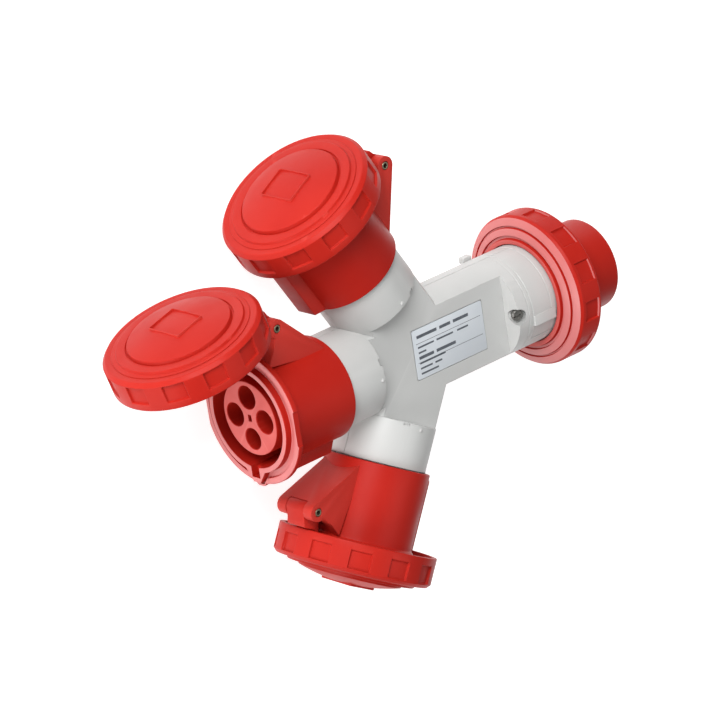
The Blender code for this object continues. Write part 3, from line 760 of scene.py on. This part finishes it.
def trunk():
    outline = [(-10, 0, 0), (-10, PLUG_ARM_R, 0)]
    for place in PLUG_ARM_LINES:
        outline += [(place + step, PLUG_ARM_R - deep, 0) for step, deep in ((-0.35, 0), (0, 0.3), (0.35, 0))]
    body = turned("trunk", fillet(outline + [(89.8, PLUG_ARM_R, 0.5), (89.8, 0, 0)]), even(120))
    spin = {"upper": 1.7, "middle": 0.9, "lower": -2.3}
    out = {name: CROSS.inverted() @ matrix for name, matrix in ARMS.items()}
    rolled = {}
    for name, matrix in out.items():
        rolled[name] = matrix @ Matrix.Rotation(math.radians(spin[name]), 4, "X")
    for matrix in rolled.values():
        add(body, move(rod("arm", -8, ARM_END + 6, ARM_R, 120), matrix))
    front = box("front", (-90, -90, FLAT_Z), (FLAT_END, 90, 50))
    back = box("back", (-90, -90, -50), (FLAT_END, 90, -FLAT_Z))
    cut(body, front)
    cut(body, back)
    rim = HOUSING_REAR - 0.3
    for matrix in rolled.values():
        outline = [(ARM_END, 0, 0), (ARM_END, COLLAR_R, 0.7), (rim, COLLAR_R, 0.5), (rim, 0, 0)]
        add(body, move(turned("collar", fillet(outline), even(120)), matrix))
    for matrix in out.values():
        notch = box("notch", (-1.0, -1.9, -1.5), (1.5, 1.9, 1.5))
        place = Matrix.Rotation(math.radians(21), 4, "X") @ shift(ARM_END + 0.2, 0, -COLLAR_R + 0.6)
        cut(body, move(notch, matrix @ place))
        spigot = rod("spigot", HOUSING_REAR - 3, 70, 22.5, 96)
        add(body, move(spigot, matrix))
    return body


def screw_pocket(side):
    steps = [(-4, 0, 0), (-4, 1.8, 0), (0, 1.8, 0), (0, 4.5, 0), (20, 4.5, 0), (20, 0, 0)]
    seat = (SCREW_SEAT[0], 0, side * SCREW_SEAT[2])
    return along(turned("pocket", fillet(steps), even(64)), seat, screw_way(side))


def shells():
    body = trunk()
    for side in (1, -1):
        cut(body, screw_pocket(side))
    flap = box("flap", (67.8, -16.5, 15), (95, -8.6, 40))
    cut(body, cut(flap, rod("clear", 50, 100, PLUG_ARM_R - 0.25, 96)))
    cut(body, box("bed", (-9.6, -13.8, FLAT_Z - 0.5), (41.6, 14.2, 20)))
    for x, y in SHELL_SCREWS:
        steps = [(-30, 0, 0), (-30, 4.3, 0), (-16.3, 4.3, 0), (-15.7, 3.7, 0)]
        steps += [(SHELL_SCREW_SEAT, 3.7, 0), (SHELL_SCREW_SEAT, 0, 0)]
        cut(body, along(turned("hole", fillet(steps), even(48)), (x, y, 0), (0, 0, 1)))
    lug = bevel(box("lug", (58.5, 23, -16.5), (64.5, 26.6, -12.5)), 0.5)
    add(body, lug)
    twin = body.copy()
    twin.data = body.data.copy()
    bpy.context.scene.collection.objects.link(twin)
    cut(body, box("half", (-150, -150, -60), (150, 150, 0.15)))
    cut(twin, box("half", (-150, -150, -0.15), (150, 150, 60)))
    for obj in (body, twin):
        shade(obj, 25)
    dress(body, "shell_front_half", GREY, "adaptor", CROSS, ["front_shell"])
    dress(twin, "shell_rear_half", GREY, "adaptor", CROSS, ["rear_shell"])
    guide_rib()
    collar_dots()


def guide_rib():
    """The guide rib along the plug arm."""
    rib = prism("rib", [(67.5, -8.3), (83, -8.3), (83, -2.6), (67.5, -2.6)], 24, 27.6)
    cut(rib, rod("clear", 50, 95, 26.2, 96))
    dress(bevel(rib, 0.35), "shell_guide_rib", GREY, "adaptor", CROSS)


def collar_dots():
    """A small round mark on each collar."""
    for name, matrix in ARMS.items():
        outline = [(0, 0, 0), (0, 1.0, 0), (1.5, 1.0, 0.35), (1.6, 0, 0)]
        dot = turned("dot", fillet(outline), even(32))
        along(dot, (ARM_END + 2.4, 0, -COLLAR_R + 1.0), (0, 0, -1))
        dress(dot, f"shell_dot_{name}", GREY, "adaptor", matrix)


def rounded_plate(name, low, high, rounding):
    x0, y0, z0 = low
    x1, y1, z1 = high
    outline = fillet([(x0, y0, rounding), (x1, y0, rounding), (x1, y1, rounding), (x0, y1, rounding)], 5)
    return prism(name, outline, z0, z1)


def rating_plate():
    """Blank rating plate: two rules and plain bars where print would be."""
    top = FLAT_Z + 0.3
    plate = bevel(rounded_plate("plate", (-9.3, -13.5, FLAT_Z - 0.2), (41.3, 13.9, top), 1.2), 0.12, 2)
    dress(plate, "rating_plate_film", FILM, "adaptor", CROSS, ["rating_plate"])
    bars = []
    for row in range(8):
        y = 9.6 - 2.9 * row
        for start, end in PLATE_BARS[row]:
            thick = 0.85 if row in (0, 4) else 0.5
            bars.append(("bar", (start, y - thick, top - 0.05), (end, y + thick, top + 0.02)))
    bars.append(("rule", (-7.5, 5.9, top - 0.05), (39.5, 6.15, top + 0.02)))
    bars.append(("rule", (-7.5, -4.6, top - 0.05), (39.5, -4.35, top + 0.02)))
    for i, (name, low, high) in enumerate(bars):
        made = rounded_plate(name, low, high, 0.12)
        dress(made, f"plate_{name}_{i + 1}", INK, "adaptor", CROSS)


PLATE_BARS = (
    ((-6.5, 8.0), (10.0, 18.0), (20.0, 31.0)),
    (),
    ((-6.5, 5.0), (7.0, 19.0), (22.0, 30.0)),
    ((-6.5, -1.0),),
    ((-6.5, 4.0), (6.0, 20.0)),
    ((-6.5, 12.0),),
    ((-6.5, 2.0), (4.0, 9.0)),
    ((-6.5, 6.0),),
)


def screw_head(name, node, seat, way, reach):
    outline = [(-reach, 0, 0), (-reach, 1.4, 0.2), (0.3, 1.4, 0), (0.3, 3.2, 0.2)]
    outline += [(2.0, 3.2, 0.7), (2.7, 2.2, 0.5), (2.8, 0, 0)]
    made = turned("screw", fillet(outline), even(56))
    for turn in (0, 90):
        blade = box("blade", (1.5, -0.45, -2.3), (4, 0.45, 2.3))
        cut(made, move(blade, Matrix.Rotation(math.radians(turn + 20), 4, "X")))
    shade(made, 32)
    along(made, seat, way)
    dress(made, name, STEEL, "adaptor", CROSS, [node])


def screws():
    for i, (x, y) in enumerate(SHELL_SCREWS):
        node = f"shell_screw_{i + 1}"
        screw_head(f"{node}_head", node, (x, y, SHELL_SCREW_SEAT), (0, 0, -1), 20)
    for side, word in ((1, "front"), (-1, "rear")):
        seat = (SCREW_SEAT[0], 0, side * SCREW_SEAT[2])
        screw_head(f"plug_screw_{word}_head", f"plug_screw_{word}", seat, screw_way(side), 3.4)


# Plug.


def plug_ring():
    wall = [(x, PLUG_RING_R, 0) for x in lines(90.4, 102.4, (91.9, 101.6))]
    outline = [(84.0, 27.7, 0.3), (84.0, 30.3, 0.4), (86.0, 30.6, 0.15), (86.0, 31.9, 0.15)]
    outline += [(84.7, 32.2, 0.25), (86.1, 36.0, 0.3), (87.5, 36.2, 0.15), (87.5, 36.9, 0.15)]
    outline += [(86.5, 37.2, 0.2), (88.3, 41.3, 0.7), (89.8, PLUG_RING_R, 0.6), *wall]
    outline += [(103.2, PLUG_RING_R, 0.9), (103.2, 39.2, 0.4)]
    outline += [(103.1, 39.2, 0), (102.9, 39.2, 0), (101.1, 39.2, 0), (100.9, 39.2, 0)]
    outline += [(97.0, 39.2, 0), (97.0, 30.4, 0), (89.8, 30.4, 0), (89.8, 27.7, 0)]
    shape = ring_shape(PLUG_RING_R, 91.9, 101.6, 101.0, 103.0, 39.2)
    made = turned("ring", fillet(outline), ring_turns(), shape, 28)
    dress(made, "plug_ring_turned", RED, "plug_ring", CROSS, ["plug_ring"])
    # The ring's back faces get a painted sheen: the paler red outside, and the lighter satin red on the
    # inner band.
    paint_sheen(made, (-1, 0, 0))
    paint_sheen(made, (-1, 0, 0), SATIN_PAINTED_SHEEN_RED, PLUG_RING_STEP)


def plug():
    outline = [(76, SHROUD_BORE, 0), (76, 24.4, 0.3), (90.3, 24.4, 0), (90.3, 30.0, 0.3), (96, 30.0, 0.5)]
    outline += [(96, SHROUD_R, 0.8), (134.4, SHROUD_R, 1.3), (134.4, SHROUD_BORE, 0.9)]
    shroud = turned("shroud", fillet(outline), even(160))
    dress(shroud, "plug_shroud_tube", RED, "adaptor", CROSS, ["plug_shroud"])
    key = bevel(box("key", (98.5, -2.6, -30.6), (130.4, 2.6, -24.0)), 0.6)
    dress(key, "plug_shroud_key", RED, "adaptor", CROSS)
    outline = [(79.5, 0, 0), (79.5, 21.3, 0.4), (96.0, 21.3, 0.8), (96.0, 0, 0)]
    carrier = turned("carrier", fillet(outline), even(128))
    for k in range(4):
        turn = math.radians(180 + 90 * k)
        wide = 3.5 if k == 0 else 2.5
        place = (CONTACT_CIRCLE * math.cos(turn), CONTACT_CIRCLE * math.sin(turn))
        cut(carrier, move(rod("hole", 60, 110, wide + 0.3, 48), shift(0, *place)))
        outline = [(74, 0, 0), (74, wide, 0.3), (131, wide, 1.3), (131, 0, 0)]
        pin = move(turned("pin", fillet(outline), even(48)), shift(0, *place))
        dress(pin, f"plug_pin_{k + 1}_turned", BRASS, "adaptor", CROSS, [f"plug_pin_{k + 1}"])
    shade(carrier, 32)
    dress(carrier, "pin_carrier_face", RED, "adaptor", CROSS, ["pin_carrier"])
    outline = [(96.3, 25.7, 0.4), (98.2, 25.7, 0.4), (98.2, 30.0, 0.6), (96.3, 30.0, 0.4)]
    seal = turned("seal", fillet(outline), even(120))
    dress(seal, "plug_seal", RUBBER, "adaptor", CROSS, ["plug_gasket"])
    plug_ring()


def keep_hidden_parts():
    """Gives the CAD solids that stay, all of them inside, their finishes."""
    for name, obj in frame["nodes"].items():
        surface = None
        if name.startswith("busbar"):
            surface = COPPER
        elif name.startswith("contact_"):
            surface = BRASS
        elif name.startswith("collar_seal"):
            surface = RUBBER
        if surface:
            obj.data.materials.clear()
            obj.data.materials.append(surface)


# Stage.


def floor():
    made, tree, shader = nodes_of("pale_floor")
    coords = tree.nodes.new("ShaderNodeTexCoord").outputs["Object"]
    cloud = noise(tree, coords, 3.0, 2.0)
    link(tree, mix(tree, cloud, (0.60, 0.60, 0.60), (0.64, 0.64, 0.64)), shader.inputs["Base Color"])
    shader.inputs["Roughness"].default_value = 0.9
    shader.inputs["Specular IOR Level"].default_value = 0.1
    shader.inputs["Emission Color"].default_value = (1, 1, 1, 1)
    shader.inputs["Emission Strength"].default_value = FLOOR_GLOW
    plane = rounded_plate("floor", (-4000, -4000, -44.6), (4000, 4000, -42.6), 500)
    plane.data.materials.append(made)


def area(name, direction, distance, size, power, colour=(1, 1, 1)):
    light = bpy.data.lights.new(name, "AREA")
    light.shape = "DISK"
    light.size = size
    light.energy = power
    light.color = colour
    made = bpy.data.objects.new(name, light)
    bpy.context.scene.collection.objects.link(made)
    target = Vector((-0.09, 0, 0))
    way = Vector(direction).normalized()
    made.location = target + way * distance
    made.rotation_euler = (-way).to_track_quat("-Z", "Y").to_euler()
    return made


FLOOR_GLOW = 0.80


def light_and_camera():
    world = bpy.data.worlds.new("studio")
    bpy.context.scene.world = world
    world.use_nodes = True
    back = world.node_tree.nodes["Background"]
    back.inputs["Color"].default_value = (1, 1, 1, 1)
    back.inputs["Strength"].default_value = 0.25
    area("key", (-0.50, 0.70, 0.50), 1.4, 0.8, 20)
    area("fill", (-0.95, -0.30, 0.15), 1.3, 0.9, 11)
    area("front", (0.25, -0.10, 1.0), 1.5, 1.1, 5)
    scene = bpy.context.scene
    scene.view_settings.view_transform = "Standard"
    scene.view_settings.look = "None"
    lens = bpy.data.cameras.new("camera")
    lens.sensor_width = 36
    lens.lens = 217.8
    lens.clip_end = 20
    camera = bpy.data.objects.new("camera", lens)
    scene.collection.objects.link(camera)
    camera.location = (-1.4820, 0.7933, 1.6342)
    right = Vector((0.7278, -0.1416, 0.6710))
    up = Vector((0.3362, 0.9265, -0.1692))
    back_way = right.cross(up)
    turn = Matrix((right, up, back_way)).transposed()
    camera.rotation_euler = turn.to_quaternion().normalized().to_euler()
    scene.camera = camera


shells()
rating_plate()
screws()
for arm, placed in ARMS.items():
    opened = placed @ lid_turn(LID_OPEN if arm == "middle" else 0.0)
    socket(arm, placed)
    lid(arm, opened)
    lid_ring(arm, opened)
plug()
keep_hidden_parts()
floor()
light_and_camera()
